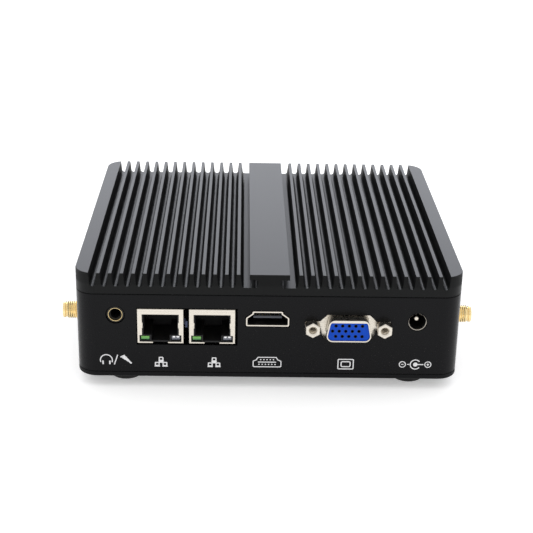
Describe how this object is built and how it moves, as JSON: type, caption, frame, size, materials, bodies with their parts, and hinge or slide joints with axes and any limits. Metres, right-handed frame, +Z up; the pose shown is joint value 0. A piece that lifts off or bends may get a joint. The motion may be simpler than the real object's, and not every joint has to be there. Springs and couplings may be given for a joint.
{
  "type": "mini pc",
  "caption": "Fanless mini pc in a black finned aluminium case, with network, video, audio and power sockets on one panel and threaded antenna jacks on its sides.",
  "frame": {"origin": "on the desk, under the middle of the whole object's box", "axes": "+Z up, -Y the connector panel, +Y the panel with the power button, +X to the right of someone who looks at the connector panel"},
  "size_m": [0.1492, 0.1334, 0.0434],
  "materials": {
    "anodised_black": "satin black anodised",
    "coated_case": "fine matt black coating",
    "coated_plate": "fine matt black coating",
    "foot_rubber": "matt",
    "black_screw": "black oxide",
    "steel_screw": "plated",
    "brass_part": "turned",
    "circuit_board": "solder mask",
    "chip_black": "moulded epoxy",
    "thermal_pad": "soft pad",
    "ferrite": "pressed ferrite",
    "can_metal": "drawn can",
    "socket_plastic": "moulded",
    "spring_steel": "spring temper",
    "nickel_shell": "nickel plated",
    "gold_plate": "gold plated",
    "white_insulator": "turned fluoropolymer",
    "video_blue": "moulded",
    "lens_green": "clear tinted",
    "lens_clear": "clear",
    "lead_sheath": "thin sheath",
    "usb_plastic": "moulded",
    "button_metal": "black plated"
  },
  "bodies": {
    "case": {"heatsink_lid": "anodised_black", "case_frame": "coated_case", "bottom_plate": "coated_plate", "rubber_feet": "foot_rubber", "bottom_screws": "black_screw", "lid_screws": "steel_screw", "board_screws": "steel_screw", "card_screws": "steel_screw", "board_spacers": "brass_part", "card_posts": "brass_part", "motherboard": "circuit_board", "memory_module": "circuit_board", "drive_card": "circuit_board", "wireless_card": "circuit_board", "cpu_package": "chip_black", "ethernet_controllers": "chip_black", "memory_chips": "chip_black", "drive_chips": "chip_black", "thermal_pad": "thermal_pad", "power_inductors": "ferrite", "capacitors": "can_metal", "wireless_shield": "can_metal", "coin_cell": "can_metal", "memory_socket": "socket_plastic", "drive_socket": "socket_plastic", "wireless_socket": "socket_plastic", "coin_cell_holder": "socket_plastic", "lan_insert_left": "socket_plastic", "lan_insert_right": "socket_plastic", "audio_jack_body": "socket_plastic", "dc_inlet_body": "socket_plastic", "digital_video_tongue": "socket_plastic", "power_switch_spring": "spring_steel", "lan_shield_left": "nickel_shell", "lan_shield_right": "nickel_shell", "digital_video_shell": "nickel_shell", "video_shell": "nickel_shell", "video_jack_screws": "nickel_shell", "usb_shell_left": "nickel_shell", "usb_shell_right": "nickel_shell", "dc_inlet_pin": "nickel_shell", "antenna_jack_left": "gold_plate", "antenna_jack_right": "gold_plate", "antenna_nuts": "gold_plate", "lan_contacts": "gold_plate", "audio_jack_ring": "gold_plate", "antenna_insulators": "white_insulator", "video_insulator": "video_blue", "lan_green_lenses": "lens_green", "lan_clear_lenses": "lens_clear", "status_light_pipes": "lens_clear", "antenna_lead_left": "lead_sheath", "antenna_lead_right": "lead_sheath", "power_switch_leads": "lead_sheath", "usb_tongues": "usb_plastic", "power_switch_body": "button_metal", "power_switch_nut": "button_metal"},
    "power_button": {"power_button": "button_metal"},
    "memory_latch_left": {"memory_latch_left": "spring_steel"},
    "memory_latch_right": {"memory_latch_right": "spring_steel"}
  },
  "joints": [
    {"name": "power_button_press", "type": "slide", "parent": "case", "child": "power_button", "axis": [0, -1, 0], "range_m": [0, 0.0012], "stiffness_N_per_m": 1500, "springref_m": -0.0005},
    {"name": "memory_latch_left_swing", "type": "hinge", "parent": "case", "child": "memory_latch_left", "pos_m": [-0.03465, 0.03875, 0.0281], "axis": [0, 0, -1], "range_deg": [0, 6], "stiffness_Nm_per_rad": 0.3, "springref_deg": -1.72},
    {"name": "memory_latch_right_swing", "type": "hinge", "parent": "case", "child": "memory_latch_right", "pos_m": [0.03465, 0.03875, 0.0281], "axis": [0, 0, 1], "range_deg": [0, 6], "stiffness_Nm_per_rad": 0.3, "springref_deg": -1.72}
  ]
}
